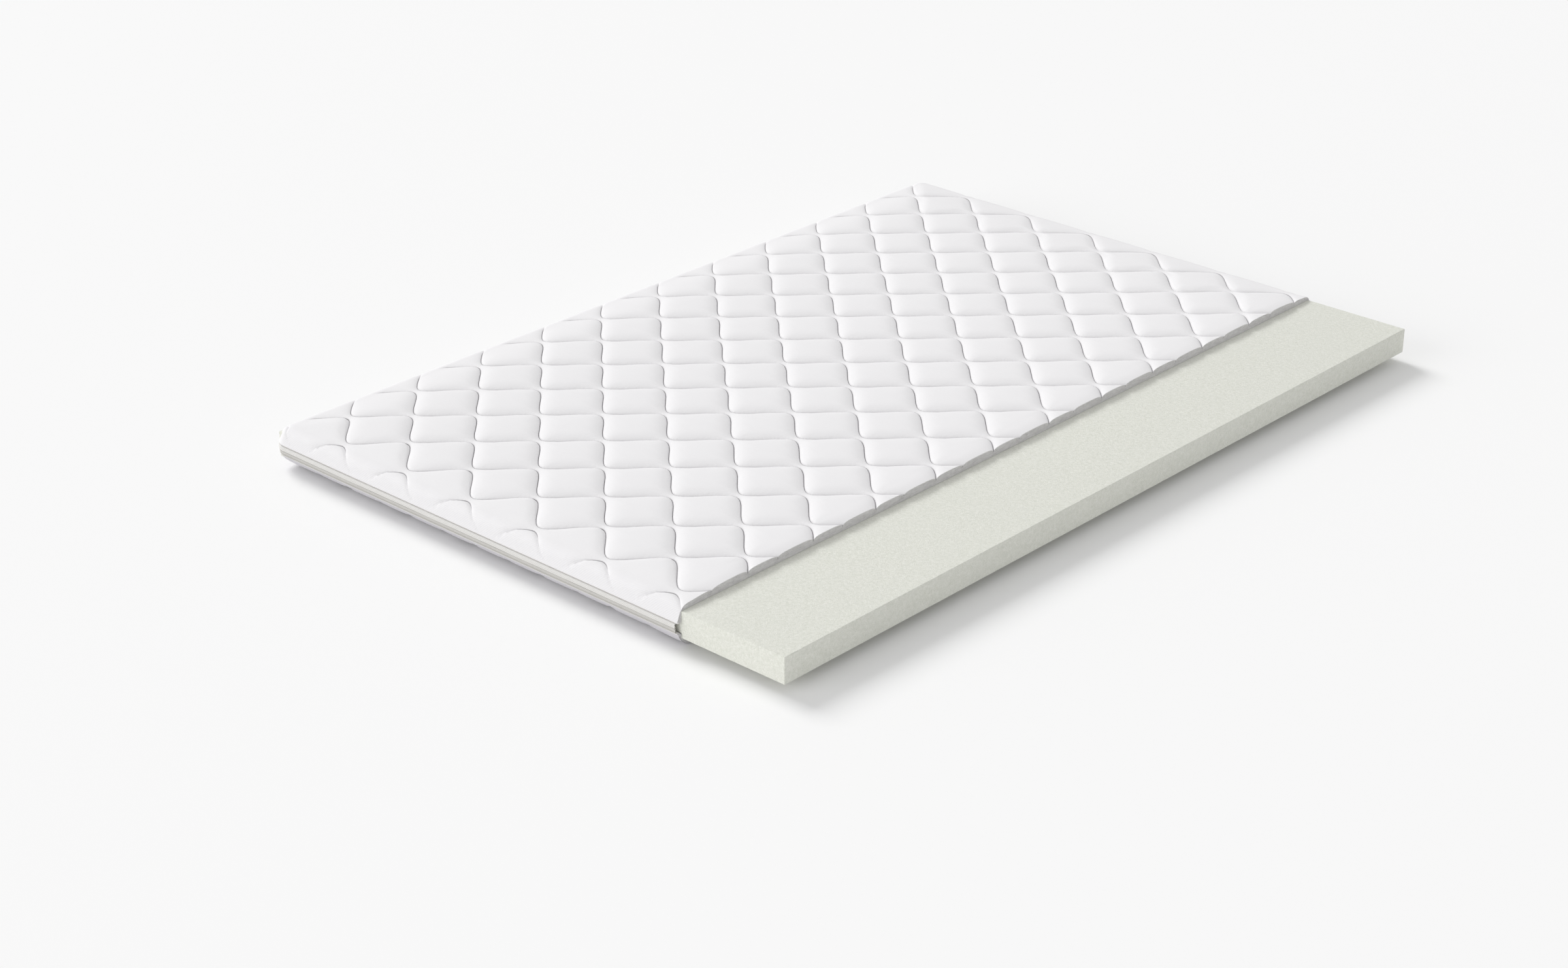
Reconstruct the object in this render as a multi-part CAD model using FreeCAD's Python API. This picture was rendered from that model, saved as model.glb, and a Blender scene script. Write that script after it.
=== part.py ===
import FreeCAD, Part

import math
import os

# Memory foam mattress, made as a cutaway sample: a foam slab in a quilted cover whose two
# panels are joined by a zip round the sides. One long side of the cover is cut away.
# Millimetres. +X points out of the cut side, +Y runs along the mattress, +Z is up, and
# z = 0 is the underside. The origin is the bottom centre of the whole piece.

# foam slab
coreLength = 1976.0          # along Y
coreWidth = 1366.0           # along X
coreThickness = 54.0
coreCornerRadius = 24.0      # the two corners inside the cover, pressed round by it
exposedWidth = 246.0         # bare strip that stands out of the cut cover
coreClearance = 0.5          # between the slab and the cover's lining

# quilted cover
topStandOff = 11.4           # how far the top panel's edge stands out from the slab
bottomStandOff = 9.0         # the same for the bottom panel, which tucks under a little
topQuiltThickness = 18.0
bottomQuiltThickness = 20.0
fabricThickness = 1.2
liningThickness = 0.8
topSideLean = 20.0           # degrees off vertical of the top panel's side
bottomSideLean = 24.0        # degrees off vertical of the bottom panel's side

# zip band between the two panels
zipBandHeight = 22.0
zipCentreAboveCore = 21.0    # zip's centre line above the slab's underside
tapeThickness = 0.8
tapeSetBack = 0.4            # tape's outer face behind the top panel's edge
flangeDepth = 5.0            # turned-in edge of the tape, sewn to the hem
bindingThickness = 1.6       # overlocked hem of each panel
bindingSetBack = 0.4         # hem's edge behind its panel's edge
bindingDepth = 6.5
coilHeight = 2.2             # the coils lie behind the tapes, as on a reversed zip
coilDepth = 1.8
coilGap = 1.6                # open line between the two halves, where the slider's post runs

# slider and pull
runClearance = 0.3
sliderLength = 13.0
sliderHalfWidth = 4.6
sliderPlate = 1.2
sliderLip = 1.2
sliderCorner = 1.5
sliderStep = 1.0             # post and lips end this far inside the plates' ends
tapeFlatMargin = 0.4         # upright part of the lower tape beyond the slider
postLength = 4.0
bridgeLength = 10.6
bridgeFoot = 1.6
bridgeBar = 1.0
bridgeWidth = 2.4
pullThickness = 1.0
pullLength = 26.0
pullWidth = 7.0
pullCorner = 2.8
pullArm = 1.0
pullWindow = 6.2             # from the hinge line to the end of the pull's window
sliderInset = 70.0           # parked slider from the end of the slab
stopLength = 4.0
stopPlate = 0.8
stopGap = 4.0                # between the parked slider and the end stop

# heights
coreBottomZ = bottomQuiltThickness
coreTopZ = coreBottomZ + coreThickness
topZ = coreTopZ + topQuiltThickness
zipZ = coreBottomZ + zipCentreAboveCore
upperSeamZ = zipZ + zipBandHeight / 2
lowerSeamZ = zipZ - zipBandHeight / 2

# distances out from the slab's side face, called d from here on
tapeOuterD = topStandOff - tapeSetBack
tapeInnerD = tapeOuterD - tapeThickness
coilBackD = tapeInnerD - coilDepth
sliderFrontD = tapeOuterD + runClearance + sliderPlate
pullD = sliderFrontD + runClearance + pullThickness / 2
bridgeInnerD = pullD + pullThickness / 2 + runClearance
bridgeFrontD = bridgeInnerD + bridgeBar
sliderBackD = coilBackD - runClearance - sliderPlate

# plan, with the whole piece centred on the origin
overallWidth = coreWidth + bridgeFrontD
openFaceX = overallWidth / 2
coreBackX = openFaceX - coreWidth
cutX = openFaceX - exposedWidth
halfLength = coreLength / 2
cornerX = coreBackX + coreCornerRadius
cornerY = halfLength - coreCornerRadius
sliderY = -(halfLength - sliderInset)


def point(x, y, z):
    return FreeCAD.Vector(x, y, z)


def box(x0, x1, y0, y1, z0, z1):
    return Part.makeBox(x1 - x0, y1 - y0, z1 - z0, point(x0, y0, z0))


def fused(solids):
    whole = solids[0].fuse(solids[1:]) if len(solids) > 1 else solids[0]
    return whole.removeSplitter()


def faceOf(edges):
    return Part.Face(Part.Wire(edges))


def polygon(corners):
    """Face in the d-z plane, given as (d, z) corners."""
    points = [point(d, 0, z) for d, z in corners]
    return faceOf([Part.LineSegment(a, b).toShape()
                   for a, b in zip(points, points[1:] + points[:1])])


def aroundCover(section):
    """Carries a d-z section along the three closed sides of the cover and round its corners."""
    straight = cutX - cornerX
    near = section.copy()
    near.rotate(point(0, 0, 0), point(0, 0, 1), -90)
    near.translate(point(cornerX, -halfLength, 0))
    far = section.copy()
    far.rotate(point(0, 0, 0), point(0, 0, 1), 90)
    far.translate(point(cornerX, halfLength, 0))
    back = section.copy()
    back.rotate(point(0, 0, 0), point(0, 0, 1), 180)
    back.translate(point(coreBackX, -cornerY, 0))
    return fused([
        near.extrude(point(straight, 0, 0)),
        far.extrude(point(straight, 0, 0)),
        back.extrude(point(0, 2 * cornerY, 0)),
        near.revolve(point(cornerX, -cornerY, 0), point(0, 0, 1), -90),
        far.revolve(point(cornerX, cornerY, 0), point(0, 0, 1), 90),
    ])


def cushionHalf(seamZ, way, height, lean, standOff, inset):
    """Solid body of one panel's outer shape, moved in by inset. way is 1 up or -1 down."""
    angle = math.radians(lean)
    span = standOff + coreCornerRadius
    radius = (span - height * math.tan(angle)) / (1 / math.cos(angle) - math.tan(angle))
    inner = -coreCornerRadius
    r = radius - inset
    centreH = height - radius
    footD = standOff - inset / math.cos(angle)

    def place(d, h):
        return point(d, 0, seamZ + way * h)

    def onArc(turn):
        return place(inner + r * math.cos(turn), centreH + r * math.sin(turn))

    start, end = onArc(angle), onArc(math.pi / 2)
    middle = onArc((angle + math.pi / 2) / 2)
    section = faceOf([
        Part.LineSegment(place(inner, 0), place(footD, 0)).toShape(),
        Part.LineSegment(place(footD, 0), start).toShape(),
        Part.Arc(start, middle, end).toShape(),
        Part.LineSegment(end, place(inner, 0)).toShape(),
    ])
    low, high = sorted([seamZ, seamZ + way * (height - inset)])
    plate = box(cornerX, cutX, -cornerY, cornerY, low, high)
    return fused([aroundCover(section), plate])


def slabBody(growth, lowZ, highZ):
    """Upright body of the slab's plan inside the cover, grown by growth."""
    section = polygon([(-coreCornerRadius, lowZ), (growth, lowZ),
                       (growth, highZ), (-coreCornerRadius, highZ)])
    plate = box(cornerX, cutX, -cornerY, cornerY, lowZ, highZ)
    return fused([aroundCover(section), plate])


def panelLayers(seamZ, way, height, lean, standOff, quilt):
    """Fabric, wadding and lining of one quilted panel, from the outside in."""
    outer = cushionHalf(seamZ, way, height, lean, standOff, 0)
    filled = cushionHalf(seamZ, way, height, lean, standOff, fabricThickness)
    inside = []
    for growth in (coreClearance + liningThickness, coreClearance):
        reach = seamZ + way * (height - quilt + growth)
        inside.append(slabBody(growth, min(seamZ, reach), max(seamZ, reach)))
    return outer.cut(filled), filled.cut(inside[0]), inside[0].cut(inside[1])


def slab():
    body = box(coreBackX, openFaceX, -halfLength, halfLength, coreBottomZ, coreTopZ)
    edges = [e for e in body.Edges
             if abs(e.Vertexes[0].X - coreBackX) < 0.01 and abs(e.Vertexes[1].X - coreBackX) < 0.01
             and abs(e.Vertexes[0].Z - e.Vertexes[1].Z) > 1]
    return body.makeFillet(coreCornerRadius, edges)


def binding(seamZ, way, standOff):
    """Hem of a panel: a flat strip on the seam, towards the zip."""
    outer = standOff - bindingSetBack
    z0, z1 = sorted([seamZ, seamZ - way * bindingThickness])
    return aroundCover(polygon([(outer - bindingDepth, z0), (outer, z0),
                                (outer, z1), (outer - bindingDepth, z1)]))


def tape(seamZ, way, standOff):
    """Zip tape: upright over its coil, then out or in to its hem, with a turned-in sewing edge."""
    flangeZ = seamZ - way * bindingThickness
    turnZ = flangeZ - way * tapeThickness
    hemD = min(tapeOuterD, standOff - bindingSetBack)
    edgeZ = zipZ + way * coilGap / 2
    bendZ = zipZ + way * (sliderHalfWidth + tapeFlatMargin)
    return aroundCover(polygon([
        (hemD - flangeDepth, flangeZ), (hemD, flangeZ), (tapeOuterD, bendZ), (tapeOuterD, edgeZ),
        (tapeInnerD, edgeZ), (tapeInnerD, bendZ), (hemD - tapeThickness, turnZ),
        (hemD - flangeDepth, turnZ)]))


def coil(way):
    z0, z1 = sorted([zipZ + way * coilGap / 2, zipZ + way * (coilGap / 2 + coilHeight)])
    return aroundCover(polygon([(coilBackD, z0), (tapeInnerD, z0),
                                (tapeInnerD, z1), (coilBackD, z1)]))


def backBox(d0, d1, y0, y1, z0, z1):
    """Box on the back side, where d runs towards -X; y and z are from the slider's centre."""
    return box(coreBackX - d1, coreBackX - d0, sliderY + y0, sliderY + y1, zipZ + z0, zipZ + z1)


def endStop():
    """Clip across both coils that the parked slider comes up against."""
    y1 = -sliderLength / 2 - stopGap
    y0 = y1 - stopLength
    reach = coilGap / 2 + coilHeight
    return fused([
        backBox(tapeOuterD, tapeOuterD + stopPlate, y0, y1, -reach, reach),
        backBox(coilBackD - stopPlate, coilBackD, y0, y1, -reach, reach),
        backBox(coilBackD, tapeOuterD, y0, y1, -coilGap / 2, coilGap / 2),
    ])


def slider():
    """Plates outside the tapes and behind the coils, joined by a post, and a bridge for the pull."""
    y0, y1 = -sliderLength / 2, sliderLength / 2
    w = sliderHalfWidth
    front = backBox(sliderFrontD - sliderPlate, sliderFrontD, y0, y1, -w, w)
    back = backBox(sliderBackD, sliderBackD + sliderPlate, y0, y1, -w, w)
    upright = [e for plate in (front, back) for e in plate.Edges
               if abs(e.Vertexes[0].X - e.Vertexes[1].X) > 0.1]
    front = front.makeFillet(sliderCorner, [e for e in upright if front.isInside(e.CenterOfMass, 0.01, True)])
    postHalf = coilGap / 2 - runClearance
    lipD = tapeInnerD - runClearance
    parts = [front, back,
             backBox(sliderBackD, sliderFrontD, y1 - postLength, y1 - sliderStep, -postHalf, postHalf)]
    for side in (-1, 1):
        z0, z1 = sorted([side * w, side * (w - sliderLip)])
        parts.append(backBox(sliderBackD + sliderPlate / 2, lipD, y0 + sliderStep, y1 - sliderStep, z0, z1))
        f0, f1 = sorted([side * bridgeLength / 2, side * (bridgeLength / 2 - bridgeFoot)])
        parts.append(backBox(sliderFrontD - sliderPlate / 2, bridgeFrontD, f0, f1,
                             -bridgeWidth / 2, bridgeWidth / 2))
    parts.append(backBox(bridgeInnerD, bridgeFrontD, -bridgeLength / 2, bridgeLength / 2,
                         -bridgeWidth / 2, bridgeWidth / 2))
    return fused(parts)


def pull():
    """Flat pull with a window over the bridge and a round bar under it, lying towards -Y."""
    half = pullThickness / 2
    plate = backBox(pullD - half, pullD + half, -pullLength, 0, -pullWidth / 2, pullWidth / 2)
    ends = [e for e in plate.Edges
            if abs(e.Vertexes[0].X - e.Vertexes[1].X) > 0.1 and e.CenterOfMass.y < sliderY - 1]
    plate = plate.makeFillet(pullCorner, ends)
    armZ = bridgeWidth / 2 + runClearance
    window = backBox(pullD - half, pullD + half, -pullWindow, 0, -pullWidth / 2, pullWidth / 2)
    arms = [backBox(pullD - half, pullD + half, -pullWindow, 0, *sorted([s * armZ, s * (armZ + pullArm)]))
            for s in (-1, 1)]
    bar = Part.makeCylinder(half, 2 * (armZ + pullArm),
                            point(coreBackX - pullD, sliderY, zipZ - armZ - pullArm), point(0, 0, 1))
    return fused([plate.cut(window)] + arms + [bar])


pieces = {"foam_core": slab()}
panels = {
    "top": (upperSeamZ, 1, topZ - upperSeamZ, topSideLean, topStandOff, topQuiltThickness),
    "bottom": (lowerSeamZ, -1, lowerSeamZ, bottomSideLean, bottomStandOff, bottomQuiltThickness),
}
for name, panel in panels.items():
    layers = panelLayers(*panel)
    for layer, solid in zip(("knit_fabric", "wadding", "lining"), layers):
        pieces[name + "_" + layer] = solid
for name, seamZ, way, standOff in (("upper", upperSeamZ, 1, topStandOff),
                                   ("lower", lowerSeamZ, -1, bottomStandOff)):
    pieces[name + "_hem_binding"] = binding(seamZ, way, standOff)
    pieces[name + "_zip_tape"] = tape(seamZ, way, standOff)
    pieces[name + "_zip_coil"] = coil(way)
pieces["zip_end_stop"] = endStop()
pieces["zip_slider"] = slider()
pieces["zip_pull"] = pull()

os.makedirs("parts", exist_ok=True)
for name, shape in pieces.items():
    shape.exportStep("parts/" + name + ".step")
    size = shape.BoundBox
    print(f"{name:20s} solids {len(shape.Solids)} valid {shape.isValid()} volume {shape.Volume:14.1f}"
          f"  x {size.XMin:8.2f} {size.XMax:8.2f}  y {size.YMin:9.2f} {size.YMax:9.2f}"
          f"  z {size.ZMin:6.2f} {size.ZMax:6.2f}")
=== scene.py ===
import math
import bmesh
import bpy
import numpy as np
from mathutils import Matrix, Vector


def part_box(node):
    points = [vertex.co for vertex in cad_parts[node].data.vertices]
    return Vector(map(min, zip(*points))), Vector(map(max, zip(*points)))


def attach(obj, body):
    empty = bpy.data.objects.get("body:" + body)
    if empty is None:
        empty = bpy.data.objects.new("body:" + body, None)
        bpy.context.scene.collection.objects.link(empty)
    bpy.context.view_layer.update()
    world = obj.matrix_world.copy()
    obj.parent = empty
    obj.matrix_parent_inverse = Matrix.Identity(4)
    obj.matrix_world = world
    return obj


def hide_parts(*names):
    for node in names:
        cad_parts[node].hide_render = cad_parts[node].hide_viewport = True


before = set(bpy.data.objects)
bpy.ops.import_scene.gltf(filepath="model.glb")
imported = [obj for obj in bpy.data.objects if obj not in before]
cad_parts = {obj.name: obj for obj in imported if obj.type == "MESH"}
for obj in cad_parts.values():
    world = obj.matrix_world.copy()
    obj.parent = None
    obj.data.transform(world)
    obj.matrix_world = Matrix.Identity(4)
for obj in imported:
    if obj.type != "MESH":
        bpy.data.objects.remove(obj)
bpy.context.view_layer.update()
mm = 0.001


cameraPlace = {
    "spot": (3.58297, -4.13579, 2.44982),
    "azimuth": 42.5917,       # degrees round the bed, from straight in front
    "elevation": 25.6087,     # degrees above the floor
    "lens": 65.9975,          # mm, on a 36 mm wide sensor
}


def addCamera(place):
    data = bpy.data.cameras.new("productCamera")
    data.lens = place["lens"]
    data.sensor_width = 36
    data.clip_end = 200
    camera = bpy.data.objects.new("productCamera", data)
    camera.location = place["spot"]
    camera.rotation_euler = (math.radians(90 - place["elevation"]), 0, math.radians(place["azimuth"]))
    bpy.context.scene.collection.objects.link(camera)
    bpy.context.scene.camera = camera


addCamera(cameraPlace)


def linear(hexColour):
    # sRGB hex to the linear numbers that the shaders take
    parts = [int(hexColour[i:i + 2], 16) / 255 for i in (1, 3, 5)]
    return tuple(p / 12.92 if p <= 0.04045 else ((p + 0.055) / 1.055) ** 2.4 for p in parts) + (1.0,)


def addNode(tree, kind, settings=None, **links):
    # one node, its settings and what its sockets take: a number, a colour or another node's output;
    # sockets without a name of their own are called by their number, i0, i1 and so on
    node = tree.nodes.new(kind)
    for key, value in (settings or {}).items():
        setattr(node, key, value)
    for key, value in links.items():
        numbered = key[0] == "i" and key[1:].isdigit()
        socket = node.inputs[int(key[1:]) if numbered else key.replace("_", " ")]
        if isinstance(value, bpy.types.NodeSocket):
            tree.links.new(value, socket)
        else:
            socket.default_value = value
    return node


def startMaterial(name):
    material = bpy.data.materials.new(name)
    material.use_nodes = True
    tree = material.node_tree
    tree.nodes.clear()
    return material, tree


def finishMaterial(tree, shader):
    addNode(tree, "ShaderNodeOutputMaterial", Surface=shader.outputs[0])


studio = {
    "floorSize": 80.0,
    "floorGap": 0.6 * mm,     # under the mattress, so that the two faces don't fight
    "floorColour": "#fdfdfd",
    "skyColour": "#ffffff",
    "skyStrength": 0.56,
    # each lamp stands at that angle round the bed, counted from +X, and is as soft as the angle it spans
    "lamps": {
        "keyLight": {"from": 171, "elevation": 38, "strength": 1.6, "softness": 26},
        "frontLight": {"from": 252, "elevation": 16, "strength": 0.9, "softness": 40},
    },
}


def addStudio(studio):
    bpy.ops.mesh.primitive_plane_add(size=studio["floorSize"], location=(0, 0, -studio["floorGap"]))
    floor = bpy.context.object
    floor.name = "studio_floor"
    material, tree = startMaterial("paintedFloor")
    colour = linear(studio["floorColour"])
    finishMaterial(tree, addNode(tree, "ShaderNodeBsdfPrincipled", Roughness=0.9, Base_Color=colour))
    floor.data.materials.append(material)
    world = bpy.data.worlds.new("studioSky")
    world.use_nodes = True
    sky = world.node_tree.nodes["Background"]
    sky.inputs[0].default_value = linear(studio["skyColour"])
    sky.inputs[1].default_value = studio["skyStrength"]
    bpy.context.scene.world = world
    for name, lamp in studio["lamps"].items():
        light = bpy.data.lights.new(name, "SUN")
        light.energy = lamp["strength"]
        light.angle = math.radians(lamp["softness"])
        holder = bpy.data.objects.new(name, light)
        around, above = math.radians(lamp["from"]), math.radians(lamp["elevation"])
        level = math.cos(above)
        towards = Vector((math.cos(around) * level, math.sin(around) * level, math.sin(above)))
        holder.rotation_euler = towards.to_track_quat("Z", "Y").to_euler()
        bpy.context.scene.collection.objects.link(holder)
    bpy.context.scene.view_settings.view_transform = "Standard"


addStudio(studio)
print("camera, floor and lights are in")


# sizes that the pieces share, read off the frame
def nodeBox(name):
    low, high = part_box(name)
    return np.array(low), np.array(high)


coreLow, coreHigh = nodeBox("foam_core")
knitLow, knitHigh = nodeBox("top_knit_fabric")
underLow, underHigh = nodeBox("bottom_knit_fabric")
liningLow, liningHigh = nodeBox("top_lining")
cornerRadius = 24 * mm                           # of the slab's inner corners, seen from above
cutX = knitHigh[0]                               # where the cover is cut open
cornerX = coreLow[0] + cornerRadius
cornerY = coreHigh[1] - cornerRadius


foldSteps = 6             # faces round the fold
ringsBefore = 3 * mm      # the cloth's rows start to follow the border this far before the fold


def panelEdge(height, lean, standOff, fold, tail):
    # the panel's section beyond its flat: an arc, a straight side leaning in, a fold and a turned-in tail
    lean = math.radians(lean)
    reach = cornerRadius + standOff
    radius = (reach - height * math.tan(lean)) / (1 / math.cos(lean) - math.tan(lean))
    bend = math.pi / 2 - lean
    bendOut, bendUp = radius * math.sin(bend), height - radius + radius * math.cos(bend)
    straight = (bendUp - fold * (1 + math.sin(lean))) / math.cos(lean)
    sideEnd = radius * bend + straight
    curl = fold * (math.pi / 2 + lean)
    rings = [sideEnd - ringsBefore] + [sideEnd + curl * k / foldSteps for k in range(foldSteps + 1)]
    rings.append(sideEnd + curl + tail)
    return {
        "rings": np.array(rings),
        "height": height, "lean": lean, "radius": radius, "bend": bend, "fold": fold, "tail": tail,
        "bendOut": bendOut, "bendUp": bendUp, "straight": straight,
        "lengths": np.cumsum([radius * bend, straight, curl, tail]),
    }


def alongEdge(edge, run):
    # distance out, height over the seam and the outward normal at that length of cloth past the flat
    lean, fold = edge["lean"], edge["fold"]
    arcEnd, sideEnd, foldEnd, tailEnd = edge["lengths"]
    turn = np.clip(run, 0, arcEnd) / edge["radius"]
    down = np.clip(run - arcEnd, 0, sideEnd - arcEnd)
    curl = np.clip(run - sideEnd, 0, foldEnd - sideEnd) / fold
    back = np.clip(run - foldEnd, 0, tailEnd - foldEnd)
    out = edge["radius"] * np.sin(turn)
    up = edge["height"] - edge["radius"] + edge["radius"] * np.cos(turn)
    normalOut, normalUp = np.sin(turn), np.cos(turn)
    onSide = run > arcEnd
    out = np.where(onSide, out + down * math.sin(lean), out)
    up = np.where(onSide, up - down * math.cos(lean), up)
    inFold = run > sideEnd
    middleOut, middleUp = out - fold * math.cos(lean), up - fold * math.sin(lean)
    facing = lean - curl
    out = np.where(inFold, middleOut + fold * np.cos(facing) - back, out)
    up = np.where(inFold, middleUp + fold * np.sin(facing), up)
    normalOut = np.where(inFold, np.cos(facing), np.where(onSide, math.cos(lean), normalOut))
    normalUp = np.where(inFold, np.sin(facing), np.where(onSide, math.sin(lean), normalUp))
    return out, up, normalOut, normalUp


def roundCorner(u, v):
    # cloth coordinates to how far past the flat, which way, and the point of the flat it starts from
    pastX = np.maximum(cornerX - u, 0)
    pastY = np.maximum(np.abs(v) - cornerY, 0)
    run = np.maximum(pastX, pastY)
    least = np.minimum(pastX, pastY)
    share = np.where(run > 0, least / np.maximum(run, 1e-9), 0) * math.pi / 4
    angle = np.where(pastX >= pastY, share, math.pi / 2 - share)
    towardsX, towardsY = -np.cos(angle), np.sin(angle) * np.sign(v)
    return run, towardsX, towardsY, np.maximum(u, cornerX), np.clip(v, -cornerY, cornerY)


def placeCloth(u, v, edge, panel, lift):
    seamZ, way, tuck = panel["seamZ"], panel["way"], panel["tuck"]
    # the point in the frame of cloth coordinates u, v, lifted off the panel's smooth shape;
    # tuck pulls the panel's border in towards the slab
    run, towardsX, towardsY, fromX, fromY = roundCorner(u, v)
    out, up, normalOut, normalUp = alongEdge(edge, run)
    out = out + normalOut * lift
    up = up + normalUp * lift
    x, y = fromX + towardsX * out, fromY + towardsY * out
    if tuck["depth"]:
        rim = edge["bendOut"] + edge["straight"] * math.sin(edge["lean"])
        inside = np.minimum(x - (cornerX - rim), cornerY + rim - np.abs(y))
        slack = 1 - tuck["loose"] * np.exp(-(cutX - x) / tuck["reach"])
        pulled = tuck["depth"] * slack * np.clip(1 - (inside - tuck["hold"]) / tuck["reach"], 0, 1) ** 2
        up = up - pulled * np.clip(up / edge["height"], 0, 1) ** tuck["grip"]
    return np.stack([x, y, seamZ + way * up], axis=-1)


# waves are sewn along the width, every second one shifted by half a wave
quilting = {
    "wave": 182.8 * mm,          # one full wave
    "rowStep": 87.44 * mm,       # between two rows of necks
    "firstNeck": (-511.85 * mm, -951.9 * mm),
    "swing": 36.0 * mm,          # half the height of a wave
    "pointed": 0.75,             # 0 is a sine, 1 a zigzag
    "wander": 1.1 * mm,          # how far the sewing strays
    "strays": ((0.5, 171 * mm), (0.35, 67 * mm), (0.3, 31 * mm)),     # share and length of each stray
}


class SewnWaves:
    def __init__(self, quilting, seed):
        self.quilting = quilting
        self.seed = seed

    def rows(self, reach):
        # numbers of the waves that the cloth can hold out to that distance from its middle
        start, step = self.quilting["firstNeck"][1], self.quilting["rowStep"]
        return range(math.floor((-reach - start) / step) - 1, math.ceil((reach - start) / step) + 1)

    def line(self, row, x):
        # where the wave above neck row number row runs
        q = self.quilting
        random = np.random.default_rng(self.seed + 100 * int(row + 50))
        shifts = random.uniform(0, 2 * math.pi, 3)
        phase = 2 * math.pi * (x - q["firstNeck"][0]) / q["wave"] + math.pi * (row % 2)
        swing = -np.arcsin(q["pointed"] * np.cos(phase)) / math.asin(q["pointed"])
        stray = sum(part * np.sin(x / length + shift) for (part, length), shift in zip(q["strays"], shifts))
        return q["firstNeck"][1] + (row + 0.5) * q["rowStep"] + q["swing"] * swing + q["wander"] * stray

    def slope(self, row, x):
        step = 0.5 * mm
        return (self.line(row, x + step) - self.line(row, x - step)) / (2 * step)


def pillowDepth(fromBelow, fromAbove, gap, share, form):
    # how far the cloth lies under the pillow's crest at these distances from its two seams
    soft = form["edgeSoftness"]
    rise = (1 - np.exp(-fromBelow / soft)) * (1 - np.exp(-fromAbove / soft))
    belly = np.sqrt(np.clip(4 * share * (1 - share), 0, 1)) * np.clip(gap / form["fullGap"], 0, 1) ** 0.7
    return form["depth"] * (1 - rise * (form["shoulder"] + (1 - form["shoulder"]) * belly))


def sideCalm(edge, run, form):
    # the quilting is shallower on the sides and dies out before the hem
    calm = 1 - (1 - form["sideShare"]) * np.clip(run / (0.8 * edge["lengths"][0]), 0, 1)
    return calm * np.clip((edge["rings"][0] - run) / form["seamCalm"], 0, 1)


def quiltGrid(waves, edge, columns, shares, fineShares, form):
    # rows follow the seams, so that every seam lies on mesh edges
    reach = cornerY + edge["lengths"][-1]
    rowsV, rowsLift, rowsSeam, rowsNear = [], [], [], []
    for row in waves.rows(reach):
        lower, upper = waves.line(row, columns), waves.line(row + 1, columns)
        if upper.max() < -reach or lower.min() > reach:
            continue
        gap = np.maximum(upper - lower, 1 * mm)
        atEdge = lower.min() < -cornerY + form["nearEdge"] or upper.max() > cornerY - form["nearEdge"]
        cosLower = 1 / np.sqrt(1 + waves.slope(row, columns) ** 2)
        cosUpper = 1 / np.sqrt(1 + waves.slope(row + 1, columns) ** 2)
        for share in (fineShares if atEdge else shares):
            fromBelow, fromAbove = share * gap * cosLower, (1 - share) * gap * cosUpper
            rowsV.append(lower + share * gap)
            groove = form["groove"] if share == 0 else 0
            rowsLift.append(-pillowDepth(fromBelow, fromAbove, gap, share, form) - groove)
            rowsSeam.append(np.full(len(columns), float(share in (0.0, 1.0))))
            rowsNear.append(np.minimum(fromBelow, fromAbove))
    # the last rows follow the border through the fold
    rings = cornerY + edge["rings"]
    flat = np.zeros((len(rings), len(columns)))
    v = np.clip(np.array(rowsV), -rings[0], rings[0])
    v = np.vstack([-rings[::-1, None] + flat, v, rings[:, None] + flat])
    lifts = np.vstack([flat, rowsLift, flat])
    seams = np.vstack([flat, rowsSeam, flat])
    farOff = form["rowsFarOff"]
    rowsNear = np.where(np.abs(rowsV) < rings[0], rowsNear, farOff)
    nears = np.vstack([flat + farOff, rowsNear, flat + farOff])
    u = np.broadcast_to(columns, v.shape)
    run = roundCorner(u, v)[0]
    return u, v, lifts * sideCalm(edge, run, form), seams, nears, run


def waveColumns(edge, offsets, edgeStep):
    # columns are close together at the waves' turns and round the edge
    half = quilting["wave"] / 2
    start = cornerX - edge["rings"][0]
    first = math.floor((start - quilting["firstNeck"][0]) / half)
    last = math.ceil((cutX - quilting["firstNeck"][0]) / half)
    turns = np.arange(first, last + 1) * half + quilting["firstNeck"][0]
    places = np.unique(np.round(np.concatenate([turns + s * o for o in offsets for s in (-1, 1)]), 6))
    inner = places[(places > cornerX + edgeStep / 2) & (places < cutX - 2 * mm)]
    side = np.linspace(start, cornerX, math.ceil((cornerX - start) / edgeStep) + 1)
    outer = np.concatenate([cornerX - edge["rings"][:0:-1], side])
    return np.concatenate([outer, inner, [cutX]])


def weldedFaces(grids):
    # joins grids of points into one mesh where they meet, and drops what has no area
    points = np.concatenate([g["points"].reshape(-1, 3) for g in grids])
    keys = np.round(points / (0.02 * mm)).astype(np.int64)
    first, index = np.unique(keys, axis=0, return_index=True, return_inverse=True)[1:]
    index = index.reshape(-1)
    faces, corners = [], []
    start = 0
    for g in grids:
        rows, columns = g["points"].shape[:2]
        ids = np.arange(start, start + rows * columns).reshape(rows, columns)
        quads = np.stack([ids[:-1, :-1], ids[:-1, 1:], ids[1:, 1:], ids[1:, :-1]], axis=-1).reshape(-1, 4)
        if g.get("flip"):
            quads = quads[:, ::-1]
        for quad in quads:
            kept = []
            for corner in quad:
                if index[corner] not in [index[k] for k in kept]:
                    kept.append(corner)
            if len(kept) > 2:
                faces.append([int(index[k]) for k in kept])
                corners.extend(kept)
        start += rows * columns
    return points[first], faces, np.array(corners), index, first


def addPiece(name, points, faces, material=None):
    mesh = bpy.data.meshes.new(name)
    mesh.from_pydata(points, [], faces)
    if material:
        mesh.materials.append(material)
    mesh.polygons.foreach_set("use_smooth", [True] * len(faces))
    mesh.update()
    piece = bpy.data.objects.new(name, mesh)
    bpy.context.scene.collection.objects.link(piece)
    return piece


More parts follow.
